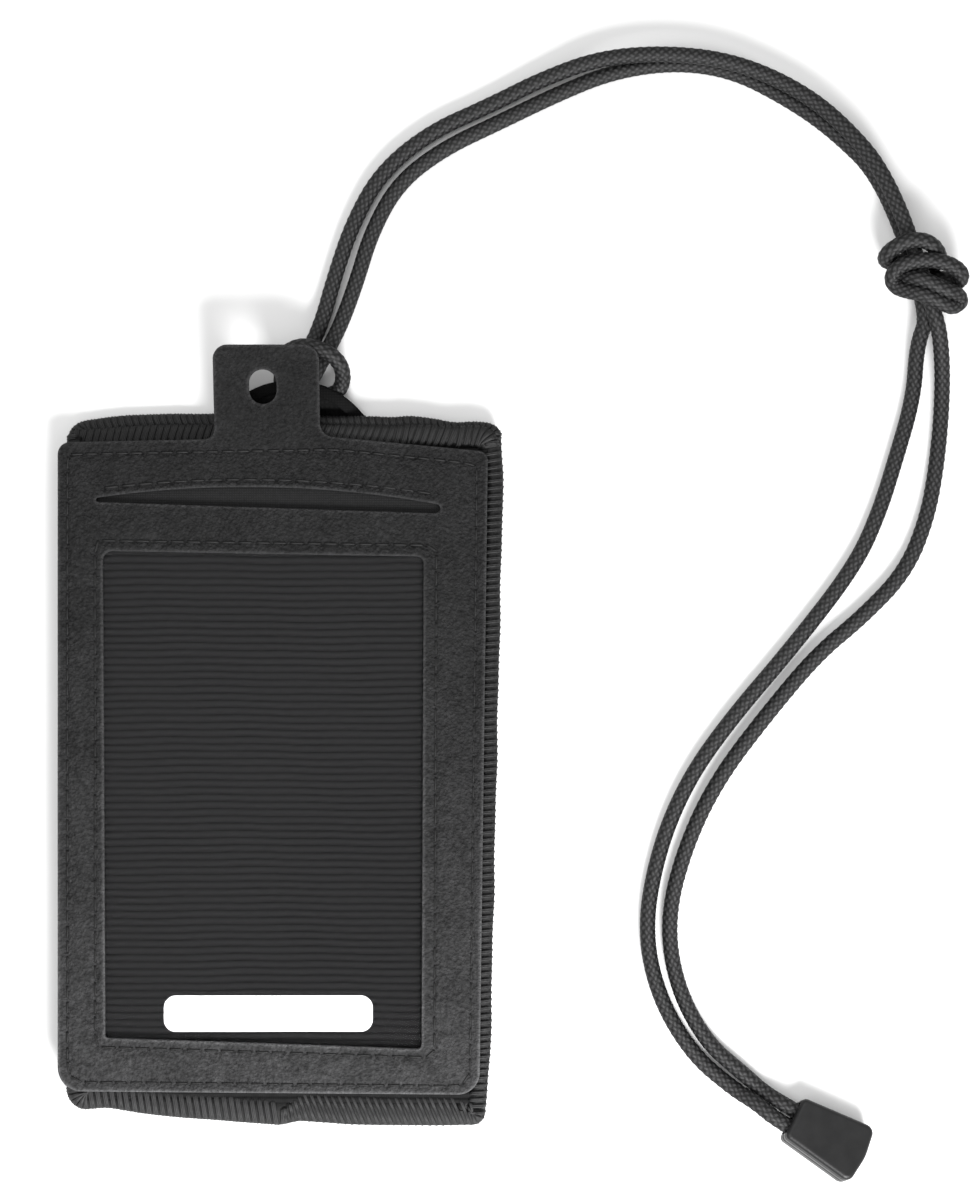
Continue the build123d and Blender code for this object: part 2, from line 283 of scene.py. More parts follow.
def vinyl_material():
    """Clear vinyl with a faint haze and rub marks."""
    material, tree, shader, place = new_material("clear_vinyl", (0.03, 0.03, 0.032), 0.12, 0.2)
    rub = noise(tree, stretch(tree, place, (40, 160, 40)), 1, 4)
    tint(tree, shader, rub, [(0.3, 0.10), (0.8, 0.22)], "Roughness")
    shader.inputs["Alpha"].default_value = 0.03
    bump(tree, shader, noise(tree, place, 60, 2), 0.0004, 0.3)
    return material


END_UP = (0.16841, 0.29768, 0.93969)    # across the two shells of the cord end
END_MIDDLE = -1.573                     # height of the cord end's middle along that direction, mm


def plastic_material():
    """Satin moulded plastic with a fine sparked texture and two dark parting lines."""
    material, tree, shader, place = new_material("moulded_plastic", (0.02, 0.02, 0.021), 0.4, 0.13)
    texture = noise(tree, place, 3800, 2)
    scuffs = noise(tree, place, 260, 4)
    tint(tree, shader, scuffs, [(0.35, 0.34), (0.75, 0.42)], "Roughness")
    height = tree.nodes.new("ShaderNodeVectorMath")
    height.operation = "DOT_PRODUCT"
    tree.links.new(place, height.inputs[0])
    height.inputs[1].default_value = END_UP
    line = calculate(tree, "SUBTRACT", height.outputs["Value"], END_MIDDLE * MM)
    first = calculate(tree, "COMPARE", line, 1.8 * MM)
    second = calculate(tree, "COMPARE", line, -0.2 * MM)
    for band, half_width in ((first, 0.24), (second, 0.3)):
        band.node.inputs[2].default_value = half_width * MM
    clear = calculate(tree, "SUBTRACT", 1.0, calculate(tree, "ADD", first, second))
    colour = ramp(tree, scuffs, [(0.3, 0.0062), (0.8, 0.0082)])
    gain = calculate(tree, "ADD", calculate(tree, "MULTIPLY", clear, 0.8), 0.2)
    tree.links.new(scaled(tree, colour, gain), shader.inputs["Base Color"])
    tree.links.new(calculate(tree, "MULTIPLY", clear, 0.16), shader.inputs["Specular IOR Level"])
    bump(tree, shader, texture, 0.00008, 0.35)
    return material


def print_material():
    """Plain white print, slightly broken up by the fabric under it."""
    material, tree, shader, place = new_material("white_print", (0.8, 0.8, 0.8), 0.5, 0.4)
    worn = noise(tree, stretch(tree, place, (500, 1200, 500)), 1, 3)
    tint(tree, shader, worn, [(0.25, 0.55), (0.5, 0.82)])
    bump(tree, shader, worn, 0.0002, 0.4)
    return material


make_camera()
make_stage()

LEATHER = leather_material()
RIBBED = rib_material()
LINING = weave_material("lining_fabric", 0.004, 0.011, 0.6)
POUCH = weave_material("pouch_fabric", 0.0035, 0.010, 0.9)
# painted shade: the webbing and binding tape are coloured far darker than the pouch fabric, in place of the
# shade under the leather tab
WEBBING_PAINTED_SHADE = weave_material("tab_webbing", 0.0007, 0.0027, 1.2)
BINDING_PAINTED_SHADE = weave_material("binding_tape", 0.0007, 0.0027, 0.7)
# serge thread: painted shade on the overlock cores and painted light towards the foot
SERGE = thread_material("serge_thread", 0.0022, 0.0145, relief=True)
STITCH = thread_material("seam_thread", 0.002, 0.0048)
CORD = cord_material()
FUSED = thread_material("fused_cord", 0.0027, 0.008, 0.35)
VINYL = vinyl_material()
PLASTIC = plastic_material()
PRINT = print_material()


# ---- mesh helpers
def add_mesh(name, vertices, faces, material, body="pouch", attributes=None):
    """A mesh object in metres that rides on a body."""
    mesh = bpy.data.meshes.new(name)
    mesh.from_pydata([tuple(v) for v in vertices], [], [tuple(f) for f in faces])
    mesh.validate()
    mesh.materials.append(material)
    mesh.polygons.foreach_set("use_smooth", [True] * len(mesh.polygons))
    for key, values in (attributes or {}).items():
        layer = mesh.attributes.new(key, "FLOAT", "POINT")
        layer.data.foreach_set("value", np.asarray(values, np.float32))
    piece = bpy.data.objects.new(name, mesh)
    bpy.context.collection.objects.link(piece)
    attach(piece, body)
    return piece


def unit(vectors):
    """Rows of vectors, each at length 1."""
    return vectors / np.linalg.norm(vectors, axis=1)[:, None]


def running_length(line):
    """Distance along a line of points, from its start."""
    return np.concatenate([[0], np.cumsum(np.linalg.norm(np.diff(line, axis=0), axis=1))])


def sample(at, lengths, values):
    """Columns of values at given distances along a line."""
    return np.column_stack([np.interp(at, lengths, column) for column in values.T])


def ring_faces(rings, sides, start=0):
    """Quads between neighbouring rings of points, the first of which has a given index."""
    return [
        (low + j, low + (j + 1) % sides, low + sides + (j + 1) % sides, low + sides + j)
        for low in range(start, start + (rings - 1) * sides, sides) for j in range(sides)
    ]


def rounded_outline(points, radii, step=0.5):
    """A closed outline with rounded corners as points about step apart, in mm."""
    points = [np.array(p, float) for p in points]
    count = len(points)
    outline, corners = [], []
    for i in range(count):
        before, here, after = points[i - 1], points[i], points[(i + 1) % count]
        a = (before - here) / np.linalg.norm(before - here)
        b = (after - here) / np.linalg.norm(after - here)
        angle = math.acos(np.clip(a @ b, -1, 1))
        cut = radii[i] / math.tan(angle / 2)
        start, end = here + a * cut, here + b * cut
        bisector = (a + b) / np.linalg.norm(a + b)
        centre = here + bisector * (radii[i] / math.sin(angle / 2))
        corners.append((start, end, centre, math.pi - angle, radii[i]))
    for i, (start, end, centre, sweep, radius) in enumerate(corners):
        parts = max(2, int(round(radius * sweep / step)))
        first, last = start - centre, end - centre
        for k in range(parts):
            t = k / parts
            arm = first * math.sin((1 - t) * sweep) + last * math.sin(t * sweep)
            outline.append(centre + arm / math.sin(sweep))
        following = corners[(i + 1) % count][0]
        pieces = max(1, int(round(np.linalg.norm(following - end) / step)))
        outline += [end + (following - end) * k / pieces for k in range(pieces)]
    return np.array(outline)


def normals_of(outline, closed=True):
    """Unit normals on the left of each point's direction."""
    if closed:
        tangent = np.roll(outline, -1, 0) - np.roll(outline, 1, 0)
    else:
        tangent = np.gradient(outline, axis=0)
    tangent = unit(tangent)
    return np.column_stack([-tangent[:, 1], tangent[:, 0]])


def inside(points, outline):
    """Which points lie inside a closed outline."""
    x, y = points[:, 0], points[:, 1]
    result = np.zeros(len(points), bool)
    for (x0, y0), (x1, y1) in zip(outline, np.roll(outline, -1, 0)):
        if y0 == y1:
            continue
        crosses = ((y0 > y) != (y1 > y)) & (x < (x1 - x0) * (y - y0) / (y1 - y0) + x0)
        result ^= crosses
    return result


def filled(points, outer, holes):
    """Which points lie inside an outline and outside its holes."""
    result = inside(points, outer)
    for hole in holes:
        result &= ~inside(points, hole)
    return result


def inward_normals(outline):
    """Unit normals that point into a closed outline."""
    x, y = outline[:, 0], outline[:, 1]
    turn = math.copysign(1, np.sum(x * np.roll(y, -1) - np.roll(x, -1) * y))
    return normals_of(outline) * turn


def distance_to(points, samples):
    """Distance in the plane from each point to the nearest sample."""
    tree = KDTree(len(samples))
    for i, (x, y) in enumerate(samples):
        tree.insert((x, y, 0), i)
    tree.balance()
    return np.array([tree.find((x, y, 0))[2] for x, y in points])


def sheet_grid(outer, holes, spacing, rings, extra=()):
    """Triangles that fill an outline with holes. rings are distances of extra loops inside the edges."""
    boundary = [outer] + holes
    kept = []
    for loop, way in zip(boundary, [1] + [-1] * len(holes)):
        normal = inward_normals(loop) * way
        kept += [loop + normal * ring for ring in rings]
    low, high = outer.min(0), outer.max(0)
    dx, dy = spacing
    xs = np.arange(low[0] + dx / 2, high[0], dx)
    ys = np.arange(low[1] + dy / 2, high[1], dy)
    gx, gy = np.meshgrid(xs, ys)
    gx = gx + (np.arange(len(ys)) % 2)[:, None] * dx * 0.5
    inner = np.column_stack([gx.ravel(), gy.ravel()])
    edge_samples = np.vstack(boundary)
    if len(extra):
        extra = np.asarray(extra)
        clear = distance_to(inner, extra) > 0.6 * min(dx, dy)
        inner = np.vstack([inner[clear], extra])
    margin = (max(rings) if rings else 0) + 0.45 * min(dx, dy)
    allowed = filled(inner, outer, holes) & (distance_to(inner, edge_samples) > margin)
    points = np.vstack([edge_samples] + kept + [inner[allowed]])
    edges, start = [], 0
    for loop in boundary:
        n = len(loop)
        edges += [(start + i, start + (i + 1) % n) for i in range(n)]
        start += n
    result = delaunay_2d_cdt([Vector(p) for p in points], edges, [], 0, 1e-5)
    vertices = np.array([(v.x, v.y) for v in result[0]])
    faces = np.array(result[2])
    centres = vertices[faces].mean(1)
    faces = faces[filled(centres, outer, holes)]
    a, b, c = vertices[faces[:, 0]], vertices[faces[:, 1]], vertices[faces[:, 2]]
    flipped = (b[:, 0] - a[:, 0]) * (c[:, 1] - a[:, 1]) - (b[:, 1] - a[:, 1]) * (c[:, 0] - a[:, 0]) < 0
    faces[flipped] = faces[flipped][:, ::-1]
    return vertices, faces, edge_samples


def thick_sheet(name, grid, top, bottom, material, edge=None):
    """Closes a grid into a sheet: top is a height function, bottom another or the thickness, in mm."""
    flat, faces, boundary = grid
    used = np.unique(faces)
    index = -np.ones(len(flat), int)
    index[used] = np.arange(len(used))
    flat, faces = flat[used], index[faces]
    count = len(flat)
    reach = distance_to(flat, boundary)
    height = top(flat, reach)
    upper = np.column_stack([flat, height])
    lower = np.column_stack([flat, bottom(flat, reach) if callable(bottom) else height - bottom])
    sides = {}
    for a, b, c in faces:
        for pair in ((a, b), (b, c), (c, a)):
            sides[pair] = sides.get(pair, 0) + 1
    rim = [(a, b) for (a, b) in sides if (b, a) not in sides]
    walls = [(a, a + count, b + count, b) for a, b in rim]
    quads = [tuple(f) for f in faces] + [tuple(f[::-1] + count) for f in faces] + walls
    attributes = {"edge": np.tile(edge(reach), 2)} if edge else None
    return add_mesh(name, np.vstack([upper, lower]) * MM, quads, material, attributes=attributes)


# ---- cords
def nurbs_line(route):
    """The smooth line that a cord follows, from its route's points in mm; returns metres."""
    curve = bpy.data.curves.new("route", "CURVE")
    curve.dimensions = "3D"
    spline = curve.splines.new("NURBS")
    spline.points.add(len(route) - 1)
    for point, place in zip(spline.points, route):
        point.co = (place[0] * MM, place[1] * MM, place[2] * MM, 1)
    spline.order_u = 3
    spline.use_endpoint_u = True
    spline.resolution_u = 24
    holder = bpy.data.objects.new("route", curve)
    bpy.context.collection.objects.link(holder)
    bpy.context.view_layer.update()
    mesh = bpy.data.meshes.new_from_object(holder)
    line = np.array([v.co for v in mesh.vertices])
    bpy.data.objects.remove(holder)
    return line


def even_steps(line, step):
    """The same line with points at even distances."""
    lengths = running_length(line)
    at = np.linspace(0, lengths[-1], int(round(lengths[-1] / step)) + 1)
    return sample(at, lengths, line), at


def moving_frames(line):
    """Two unit vectors across the line at each point, turning as little as possible."""
    tangent = unit(np.gradient(line, axis=0))
    side = np.zeros_like(line)
    start = np.cross(tangent[0], (0, 0, 1))
    side[0] = start / np.linalg.norm(start)
    for i in range(1, len(line)):
        across = side[i - 1] - tangent[i] * (side[i - 1] @ tangent[i])
        side[i] = across / np.linalg.norm(across)
    return side, np.cross(side, tangent)


CORD_RADIUS = 2.0
YARNS = 8                       # yarns each way round the sheath
YARN_PITCH = 2.1                # mm along the cord between yarns of one direction
BRAID_DEPTH = 0.22
BRAID_SIDES, BRAID_STEP = 44, 0.21


def braided_tube(name, line, body="pouch"):
    """A cord with its braid in relief, along a line in metres."""
    line, at = even_steps(line, BRAID_STEP * MM)
    side, up = moving_frames(line)
    angle = np.arange(BRAID_SIDES) / BRAID_SIDES * 2 * math.pi
    along = at[:, None] / (YARN_PITCH * MM)
    around = angle[None, :] * YARNS / (2 * math.pi)
    first = (around + along) % 1
    second = (around - along) % 1
    over = (np.floor(around + along) + np.floor(around - along)) % 2 == 0
    first, second = 1 - (2 * first - 1) ** 2, 1 - (2 * second - 1) ** 2
    relief = np.where(over, first, second) * (0.55 + 0.45 * np.where(over, second, first))
    reach = (CORD_RADIUS - BRAID_DEPTH + BRAID_DEPTH * relief) * MM
    ring = np.cos(angle)[None, :, None] * side[:, None, :] + np.sin(angle)[None, :, None] * up[:, None, :]
    vertices = (line[:, None, :] + ring * reach[:, :, None]).reshape(-1, 3)
    faces = ring_faces(len(line), BRAID_SIDES)
    cap = len(vertices)
    last = cap - BRAID_SIDES
    faces += [(cap, (n + 1) % BRAID_SIDES, n) for n in range(BRAID_SIDES)]
    faces += [(cap + 1, last + n, last + (n + 1) % BRAID_SIDES) for n in range(BRAID_SIDES)]
    vertices = np.vstack([vertices, line[0], line[-1]])
    # the braid relief also drives the cord's painted shade, low between the yarns
    values = np.append(relief, [0.5, 0.5])
    return add_mesh(name, vertices, faces, CORD, body, attributes={"relief": values}), line, at[-1]


strand_a_route = [
    (-0.1, 90.2, 2.5), (-0.2, 93, 3.03), (1.2, 95.8, 5.4), (5.2, 97.4, 8.4), (10.9, 96.3, 9.4),
    (15.2, 93, 7.8), (15.7, 88.4, 3.4), (13.4, 85.5, 2), (8.6, 85.1, 2), (5.3, 83.6, 2),
    (4.7, 82.1, 4.7), (5.3, 83.8, 7.42), (8.2, 89.4, 7.4), (11.6, 96.2, 4.6), (15, 103.4, 2.3),
    (18.7, 113.6, 2), (22.6, 126.5, 2), (29.3, 138.6, 2), (40.6, 147.2, 2), (54.6, 153.8, 2),
    (68.6, 160.6, 2), (82.6, 166.4, 2), (98.4, 168.8, 2), (112.8, 166.8, 2), (125.6, 160.4, 2),
    (137.6, 152.2, 2.8), (150.8, 138.7, 4.98), (161.9, 105.5, 4.98), (159, 98, 3.6), (158.4, 84.6, 2),
    (153.6, 68.2, 2), (149.8, 56, 2), (143.8, 42.6, 2), (128.2, 22.4, 2), (112.6, 4.2, 2),
    (101.8, -11, 2), (94.6, -28, 2), (90.9, -47.6, 2), (94, -64.6, 2), (102.6, -79.6, 2),
    (113.2, -88.5, 2.4), (118.6, -91.4, 5.42), (123.32, -95.34, 6.43), (129.89, -99.06, 6.43),
]
strand_b_route = [
    (-0.1, 90.2, 2.5), (0, 87.2, 2.01), (0.3, 83.8, 2), (0.5, 82.2, 4.7), (0.9, 83.8, 7.42),
    (3.4, 89, 7.4), (7, 96.2, 4.6), (10.2, 103.8, 2.3), (13.2, 114.8, 2), (18, 129, 2),
    (25.2, 141.6, 2), (37.4, 151.4, 2), (51.8, 157.8, 2), (65.6, 164.6, 2.7), (79.8, 169.4, 4.8),
    (96, 170.4, 5.95), (111.8, 168.6, 5.95), (126, 163.2, 5.4), (138.4, 154.6, 6.3),
    (151.5, 138.9, 9.03), (162.6, 105.7, 9.03), (164.8, 98, 6), (165.6, 85, 2.6), (164.4, 69, 2),
    (161.9, 54.6, 2), (156.4, 41, 2), (145.4, 29.6, 2), (134.2, 20.4, 2), (121, 4.6, 2),
    (109.4, -10.8, 2), (101.6, -26.6, 2), (96.6, -45, 2), (98.6, -62, 2), (106.2, -76.8, 2),
    (116.2, -85.1, 2.4), (120.4, -89, 2.38), (125.33, -91.79, 4.95), (131.9, -95.51, 4.95),
]


def make_strand(name, route):
    """One half of the lanyard, from the hitch ring to the cord end."""
    piece, line, length = braided_tube(name + "_braid", nurbs_line(route))
    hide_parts(name)
    return piece, line, length


strand_a, line_a, length_a = make_strand("lanyard_strand_a", strand_a_route)
strand_b, line_b, length_b = make_strand("lanyard_strand_b", strand_b_route)

# The adjuster knot: one cord wrapped round the pair and tucked under itself
knot_route = [
    (160, 119.6, 2.3), (153.6, 118.4, 2.5), (150.6, 118.6, 5.6), (150.7, 120, 9.2), (152.9, 121.7, 11),
    (155.7, 122.9, 11.8), (159.2, 123.1, 11.8), (162, 121.8, 11.2), (163.9, 119.7, 8.8), (164.1, 118, 5.4),
    (161, 117.2, 2.3), (156, 115.6, 2.1), (160, 114.6, 2.3), (165.4, 114.4, 4.6), (169, 112.8, 6.6),
    (169.5, 114.8, 9.6), (167.2, 116.6, 11), (164, 117.7, 11.8), (160.2, 118.2, 11.9), (156.2, 117.7, 11.5),
    (153, 116.4, 10), (151.9, 114, 8.2), (153, 111.8, 7.8), (156, 110.6, 9.2), (159.2, 109.9, 10.9),
    (162, 108.7, 11), (164.9, 107.3, 10.2), (167.4, 106.7, 8.4), (169.5, 108.2, 7.6), (168.4, 109.9, 9.2),
    (166.2, 110.4, 11), (163.2, 111.5, 11.7), (160, 113.2, 11.8), (157, 113.9, 10.8), (155.2, 114.4, 7.6),
]
knot, _, _ = braided_tube("knot_wraps", nurbs_line(knot_route), "knot")
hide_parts("adjuster_knot")


# ---- thread tubes
def closed_tube(rings, sides, start=0):
    """Faces of a tube with both its ends closed."""
    last = start + (rings - 1) * sides
    ends = [tuple(reversed(range(start, start + sides))), tuple(range(last, last + sides))]
    return ring_faces(rings, sides, start) + ends


def many_tubes(paths, sides, widths, heights, segments=8):
    """Many small tubes at once: paths (tubes, rings, 3) in mm, sides the width direction of each tube."""
    tubes, rings, _ = paths.shape
    tangent = np.gradient(paths, axis=1)
    tangent /= np.linalg.norm(tangent, axis=2)[..., None]
    sides = np.broadcast_to(sides[:, None, :] if sides.ndim == 2 else sides, paths.shape)
    sides = sides - tangent * np.sum(sides * tangent, axis=2)[..., None]
    sides /= np.linalg.norm(sides, axis=2)[..., None]
    ups = np.cross(sides, tangent)
    angle = np.arange(segments) / segments * 2 * math.pi
    widths = np.broadcast_to(widths, (tubes, rings))[..., None, None]
    heights = np.broadcast_to(heights, (tubes, rings))[..., None, None]
    ring = (
        paths[:, :, None, :]
        + np.cos(angle)[None, None, :, None] * widths * sides[:, :, None, :]
        + np.sin(angle)[None, None, :, None] * heights * ups[:, :, None, :]
    )
    faces = []
    for base in range(0, tubes * rings * segments, rings * segments):
        faces += closed_tube(rings, segments, base)
    return ring.reshape(-1, 3), faces


def sweep_profile(points, inward, profile):
    """A solid band: profile (inward, upward) pairs in mm, swept along points."""
    profile = np.array(profile, float)
    inward = np.column_stack([inward, np.zeros(len(inward))])
    up = np.array([[0, 0, 1.0]])
    vertices = (
        points[:, None, :] + profile[None, :, :1] * inward[:, None, :] + profile[None, :, 1:] * up[:, None, :]
    ).reshape(-1, 3)
    return vertices, closed_tube(len(points), len(profile))


def merged(*shapes):
    """Several (vertices, faces) as one."""
    vertices, faces, start = [], [], 0
    for points, polygons in shapes:
        vertices.append(points)
        faces += [tuple(i + start for i in polygon) for polygon in polygons]
        start += len(points)
    return np.vstack(vertices), faces


def smooth_step(value):
    value = np.clip(value, 0, 1)
    return value * value * (3 - 2 * value)


def fall_off(distance, width):
    """1 at the edge, 0 beyond a width."""
    return 1 - smooth_step(distance / width)


# ---- outlines of the pouch, in mm
pouch_points = [(-53.2, -93.6), (-53.2, 80.6), (54.6, 79.2), (55.25, 66), (52, -80), (50.6, -97)]
pouch_radii = [5, 5, 4, 20, 20, 3]
panel_points = [
    (-55.25, -88.1), (-55.25, 73.2), (-16.25, 74), (-16.25, 97),
    (10, 97), (10, 74.9), (51.7, 70.9), (49.6, -89),
]
panel_radii = [6, 3, 2.5, 3.6, 3.8, 3.5, 2.5, 5.5]
window_points = [(-43.4, -74.8), (-44, 46.2), (35.7, 44.8), (35.2, -77.6)]
window_radii = [0.75, 2.25, 1.75, 1]
pane_points = [(-46.8, -77.6), (-46.8, 49.8), (40, 48.6), (39.6, -80)]
frame_row = [(-52.8, -85.7), (-52.8, 70.2), (14, 71.4), (49, 67.8), (47.2, -86.8)]
frame_row_radii = [4, 1.5, 60, 2, 4]
window_row = [(-45.9, -77), (-45.9, 48.8), (38.9, 47.6), (38.4, -79.7)]
LEATHER_TOP, LEATHER_FLOOR = 8.5, 7.3
RIB_TOP = 6.8
PANEL_INSET = 2.2               # fabric panels inside the outer edge of the loops
MOUTH_SEAM, MOUTH_FRONT = 74.9, 77.6
TAB_SLOPE = math.tan(math.radians(14.5))
TAB_BEND, TAB_BEND_LENGTH = 70, 9       # where the leather starts to rise, and over what length
STITCH_RADIUS = 0.24
GROOVE_DEPTH, GROOVE_WIDTH = 0.16, 0.9  # the leather along a seam
PIT_DEPTH, PIT_WIDTH = 0.32, 0.42       # and at a stitch hole


def arc_through(a, b, c, count):
    """Points on the circle through three points, from a to c."""
    (ax, ay), (bx, by), (cx, cy) = a, b, c
    d = 2 * (ax * (by - cy) + bx * (cy - ay) + cx * (ay - by))
    aa, bb, cc = ax * ax + ay * ay, bx * bx + by * by, cx * cx + cy * cy
    ux = (aa * (by - cy) + bb * (cy - ay) + cc * (ay - by)) / d
    uy = (aa * (cx - bx) + bb * (ax - cx) + cc * (bx - ax)) / d
    start, end = math.atan2(ay - uy, ax - ux), math.atan2(cy - uy, cx - ux)
    radius = math.hypot(ax - ux, ay - uy)
    angle = np.linspace(start, end, count)
    return np.column_stack([ux + radius * np.cos(angle), uy + radius * np.sin(angle)])


def slot_outline():
    """The card slit: an arched upper lip and a straight lower one."""
    upper = arc_through((-45.1, 59.5), (2, 61.9), (38.6, 57.9), 140)
    foot = np.linspace((38.6, 55.6), (-45.1, 58.4), 140)

    def end(above, below, turn, bulge):
        turn = turn[1:-1] * math.pi / 180
        arc = np.column_stack([np.cos(turn) * bulge, np.sin(turn)])
        return (above + below) / 2 + (above - below)[1] / 2 * arc

    right = end(upper[-1], foot[0], np.linspace(90, -90, 9), 1.1)
    left = end(upper[0], foot[-1], np.linspace(-90, -270, 7), 1.2)
    return np.vstack([upper, right, foot, left])


def oval(centre, length, width, step=0.4):
    """An upright oblong with round ends."""
    x, y = centre
    radius = width / 2
    half = length / 2 - radius
    turn = np.linspace(0, math.pi, int(math.pi * radius / step))
    arc = radius * np.column_stack([np.cos(turn), np.sin(turn)])
    return np.vstack([np.array([x, y + half]) + arc, np.array([x, y - half]) - arc])


pouch_loop = rounded_outline(pouch_points, pouch_radii, 0.25)
panel_loop = rounded_outline(panel_points, panel_radii, 0.5)
window_loop = rounded_outline(window_points, window_radii, 0.5)
slot_loop = slot_outline()
tab_hole_loop = oval((-4, 86.8), 8.4, 6.8)


# ---- leather window panel
def stitch_ends(loop, pitch, gap, closed=True):
    """Start and end of each stitch along a line of points, gap mm between two."""
    line = np.vstack([loop, loop[:1]]) if closed else loop
    lengths = running_length(line)
    count = int(round(lengths[-1] / pitch))
    step = lengths[-1] / count
    start = np.arange(count) * step + gap / 2
    wander = np.sin(np.arange(count) * 2.3) * 0.12
    return tuple(sample(start + more + wander, lengths, line) for more in (0, step - gap))


frame_stitches = stitch_ends(rounded_outline(frame_row, frame_row_radii, 0.4), pitch=3.75, gap=0.85)
window_stitches = stitch_ends(rounded_outline(window_row, [1.2] * 4, 0.4), pitch=4.25, gap=0.95)
slot_row = arc_through((-44, 61.8), (-3, 63.9), (38, 60.4), 220)
slot_stitches = stitch_ends(slot_row, pitch=4.25, gap=0.95, closed=False)
all_stitches = [frame_stitches, window_stitches, slot_stitches]
stitch_holes = np.vstack([ends for row in all_stitches for ends in row])
row_points = np.vstack([
    start + (end - start) * t for start, end in all_stitches for t in np.linspace(0, 1, 6)
])


def tab_lift(points):
    """Height gained where the hanging tab rises over the cord hitch."""
    x, y = points[:, 0], points[:, 1]
    near = smooth_step((x + 24) / 8) * smooth_step((18 - x) / 8)
    bend = np.clip(y - TAB_BEND, 0, TAB_BEND_LENGTH)
    straight = np.clip(y - TAB_BEND - TAB_BEND_LENGTH, 0, None)
    return (bend * bend / (2 * TAB_BEND_LENGTH) * TAB_SLOPE + straight * TAB_SLOPE) * near


def leather_wave(points):
    """Slow unevenness of the laid panel."""
    x, y = points[:, 0], points[:, 1]
    return 0.10 * np.sin(x / 13 + 0.7) * np.cos(y / 19) + 0.07 * np.sin(y / 9 + x / 23)


def rounded_edge(reach, radius):
    """Depth lost near a rounded edge."""
    inward = np.clip(reach, 0, radius)
    return radius - np.sqrt(radius**2 - (radius - inward) ** 2)


def leather_top(points, reach):
    """Upper face: grooves along the seams, a pit at each stitch hole and a raised lip over the slit."""
    x, y = points[:, 0], points[:, 1]
    groove = GROOVE_DEPTH * np.exp(-((distance_to(points, row_points) / GROOVE_WIDTH) ** 2))
    pit = PIT_DEPTH * np.exp(-((distance_to(points, stitch_holes) / PIT_WIDTH) ** 2))
    lip = np.exp(-(((y - 61.2 + 0.0011 * (x - 2) ** 2) / 2.2) ** 2)) * smooth_step((44 - abs(x + 3)) / 20)
    above_slot = y > 60.4 - 0.0013 * (x - 2) ** 2
    laid = LEATHER_TOP + leather_wave(points) + tab_lift(points) - groove - pit
    return laid - rounded_edge(reach, 0.42) + 0.35 * lip * above_slot


def leather_bottom(points, reach):
    return LEATHER_FLOOR + leather_wave(points) + tab_lift(points) + rounded_edge(reach, 0.18)


def leather_edge(reach):
    """1 at the edges, which the leather colour makes lighter: partly rubbed wear, partly painted highlight.
    """
    return np.exp(-((reach / 0.5) ** 2))


extra = [stitch_holes]
for ring_radius, ring_count in ((0.3, 6), (0.62, 8)):
    for n in range(ring_count):
        a = n / ring_count * 2 * math.pi
        extra.append(stitch_holes + ring_radius * np.array([math.cos(a), math.sin(a)]))
for start, end in all_stitches:
    run = end - start
    across = unit(np.column_stack([-run[:, 1], run[:, 0]]))
    for t in (0.3, 0.5, 0.7):
        for offset in (-0.9, -0.35, 0.35, 0.9):
            extra.append(start + run * t + across * offset)
leather_grid = sheet_grid(
    panel_loop, [window_loop, slot_loop, tab_hole_loop], (1.2, 1.2), [0.08, 0.2, 0.42, 0.9], np.vstack(extra)
)
leather = thick_sheet("leather_panel", leather_grid, leather_top, leather_bottom, LEATHER, edge=leather_edge)
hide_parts("front_frame")


def nowhere(x):
    """No sag or sink at all."""
    return 0 * x


def stitch_row(name, stitches, node, sink=nowhere):
    """One seam of separate stitches, each dipping into its two holes."""
    start, end = stitches
    turn = np.linspace(0, math.pi, 9)
    t = (1 - np.cos(turn)) / 2
    flat = start[:, None, :] + (end - start)[:, None, :] * t[None, :, None]
    base = LEATHER_TOP + leather_wave(flat.reshape(-1, 2)) + tab_lift(flat.reshape(-1, 2))
    base = base.reshape(flat.shape[:2]) - sink(flat[..., 0])
    height = base - 0.42 + 0.40 * np.sin(turn)[None, :] ** 0.55
    paths = np.dstack([flat, height])
    run = end - start
    sides = np.column_stack([-run[:, 1], run[:, 0], np.zeros(len(run))])
    widths = STITCH_RADIUS * (0.45 + 0.55 * np.sin(turn)[None, :] ** 0.5)
    vertices, faces = many_tubes(paths, sides, widths, widths * 0.8)
    seam = add_mesh(name, vertices * MM, faces, STITCH)
    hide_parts(node)
    return seam


def right_sink(x):
    """The seam lies deeper down the right side."""
    return 0.10 * smooth_step((x - 42) / 4)


frame_seam = stitch_row("frame_seam", frame_stitches, "frame_stitching", right_sink)
window_seam = stitch_row("window_seam", window_stitches, "window_stitching")
slot_seam = stitch_row("slot_seam", slot_stitches, "slot_stitching")


# ---- lining, ribs, back, pane and label
def lining_top(points, reach):
    x, y = points[:, 0], points[:, 1]
    pocket = smooth_step((x + 49) / 1.5) * smooth_step((43 - x) / 1.5) * smooth_step((66 - y) / 1.5)
    return RIB_TOP + 0.45 - 0.25 * pocket + leather_wave(points) * 0.8 + tab_lift(points)


def lining_bottom(points, reach):
    return RIB_TOP + 0.05 + leather_wave(points) * 0.8 + tab_lift(points)


inner_panel = panel_loop + inward_normals(panel_loop) * 0.6
lining_window = rounded_outline([(-45, -76.4), (-45.4, 47.4), (36.9, 46.1), (36.6, -79.2)], [2] * 4, 1)
lining_grid = sheet_grid(inner_panel, [lining_window, oval((-4, 86.8), 9, 7.4)], (2.2, 2.2), [])
lining = thick_sheet("lining_sheet", lining_grid, lining_top, lining_bottom, LINING)
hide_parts("frame_lining")

panel_inset = pouch_loop + inward_normals(pouch_loop) * PANEL_INSET
closed_edge = pouch_loop[pouch_loop[:, 1] < 74]     # the edge below the open mouth
RIB_PITCH, RIB_HEIGHT = 1.8, 0.5


